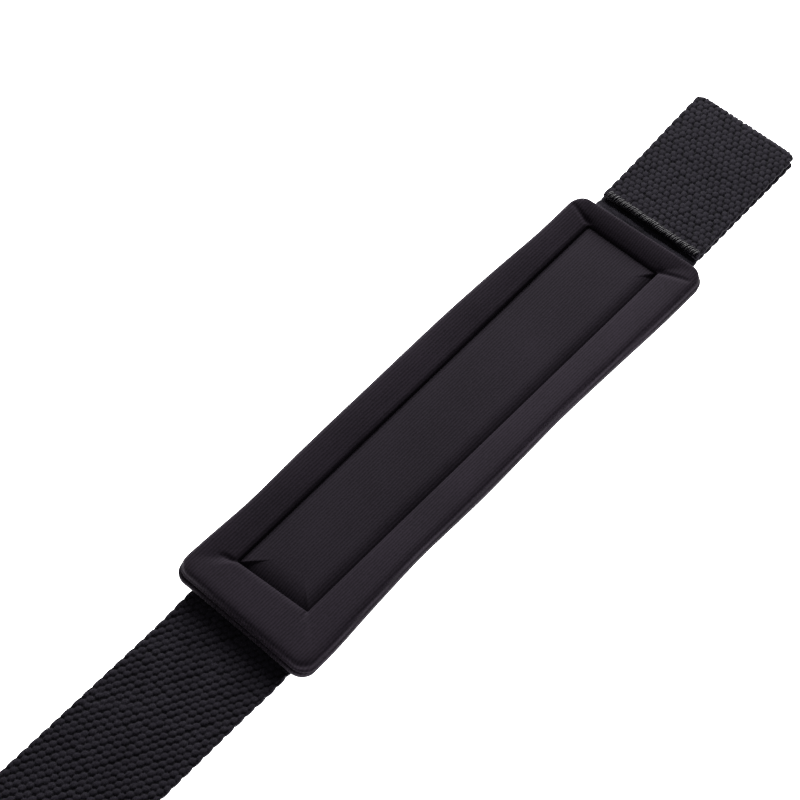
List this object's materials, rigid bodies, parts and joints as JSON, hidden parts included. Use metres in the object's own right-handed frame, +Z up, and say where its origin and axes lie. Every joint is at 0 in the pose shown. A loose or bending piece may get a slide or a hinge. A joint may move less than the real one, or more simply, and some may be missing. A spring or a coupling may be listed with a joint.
{
  "type": "weightlifting strap",
  "caption": "Flat wrist strap of thick woven webbing with a padded, bordered neoprene wrist pad, a folded sewn loop at one end and a straight tail at the other.",
  "frame": {"origin": "on the floor, on the label's underside, below the middle of the pad", "axes": "+X along the strap towards the sewn loop, +Y across it, +Z up out of the wrist side of the pad"},
  "size_m": [0.337, 0.0531, 0.0087],
  "materials": {
    "cotton_webbing": "coarse black plain-woven cotton webbing",
    "neoprene_sheet": "black neoprene with a fine brushed knit face",
    "neoprene_border": "black neoprene with a fine brushed knit face, rolled over padding",
    "woven_label": "blank black woven label"
  },
  "bodies": {
    "root": {"webbing": "cotton_webbing", "pad_sheet": "neoprene_sheet", "pad_border": "neoprene_border", "label": "woven_label"}
  },
  "joints": []
}
